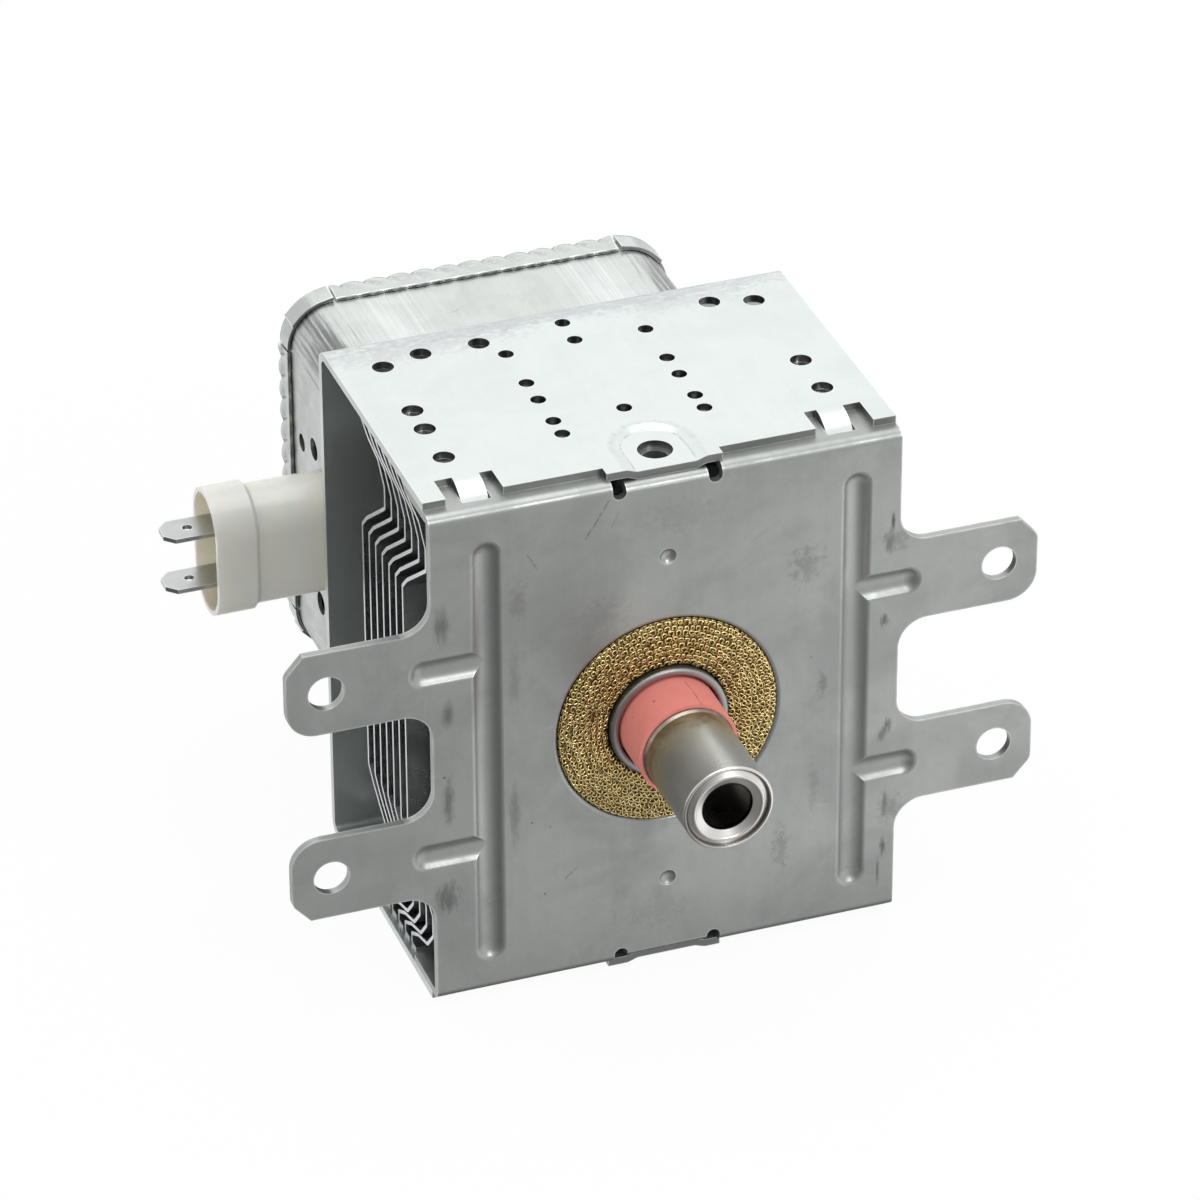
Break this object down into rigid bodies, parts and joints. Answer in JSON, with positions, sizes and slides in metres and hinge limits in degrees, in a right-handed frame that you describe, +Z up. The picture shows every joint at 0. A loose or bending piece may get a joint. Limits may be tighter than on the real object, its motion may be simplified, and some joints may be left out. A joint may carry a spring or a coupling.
{
  "type": "magnetron",
  "caption": "Air-cooled magnetron with a capped antenna, a knitted gasket, a four-hole flange, a finned anode in a steel yoke and a shielded filter box with a two-blade connector.",
  "frame": {"origin": "on the antenna axis, on the outer face of the mounting plate", "axes": "-Y along the antenna, away from the body; +Y to the filter box; +Z up; +X to the right as seen from the antenna"},
  "size_m": [0.1284, 0.1253, 0.0944],
  "materials": {
    "zinc_plated_steel": "satin",
    "aluminium_sheet": "satin",
    "ferrite": "matte",
    "copper": "satin",
    "soft_iron": "satin",
    "nickel_iron": "satin",
    "stainless_steel": "satin",
    "brass_mesh": "satin",
    "pink_ceramic": "satin",
    "white_ceramic": "satin",
    "tungsten": "satin",
    "ivory_plastic": "gloss",
    "tinned_steel": "satin"
  },
  "bodies": {
    "root": {"yoke_frame": "zinc_plated_steel", "mounting_plate": "zinc_plated_steel", "rf_gasket": "brass_mesh", "front_magnet": "ferrite", "rear_magnet": "ferrite", "anode_cylinder": "copper", "output_pole_piece": "soft_iron", "cathode_pole_piece": "soft_iron", "output_seal_cup": "nickel_iron", "cathode_seal_cup": "nickel_iron", "output_ceramic": "pink_ceramic", "output_end_ring": "nickel_iron", "exhaust_tube": "copper", "antenna_rod": "copper", "antenna_cap": "stainless_steel", "output_end_hat": "tungsten", "cathode_end_hat": "tungsten", "filament_coil": "tungsten", "centre_lead": "tungsten", "side_lead": "tungsten", "stem_ceramic": "pink_ceramic", "stem_terminal_upper": "nickel_iron", "stem_terminal_lower": "nickel_iron", "filter_box": "aluminium_sheet", "filter_box_cover": "aluminium_sheet", "feedthrough_shroud": "ivory_plastic", "feedthrough_capacitor": "white_ceramic", "upper_tab": "tinned_steel", "lower_tab": "tinned_steel", "cooling_fin_1": "aluminium_sheet", "cooling_fin_2": "aluminium_sheet", "cooling_fin_3": "aluminium_sheet", "cooling_fin_4": "aluminium_sheet", "cooling_fin_5": "aluminium_sheet", "cooling_fin_6": "aluminium_sheet", "cooling_fin_7": "aluminium_sheet", "anode_vane_1": "copper", "anode_vane_2": "copper", "anode_vane_3": "copper", "anode_vane_4": "copper", "anode_vane_5": "copper", "anode_vane_6": "copper", "anode_vane_7": "copper", "anode_vane_8": "copper", "anode_vane_9": "copper", "anode_vane_10": "copper", "output_inner_strap": "copper", "output_outer_strap": "copper", "cathode_inner_strap": "copper", "cathode_outer_strap": "copper", "upper_choke_core": "ferrite", "upper_choke_coil": "copper", "lower_choke_core": "ferrite", "lower_choke_coil": "copper"}
  },
  "joints": []
}
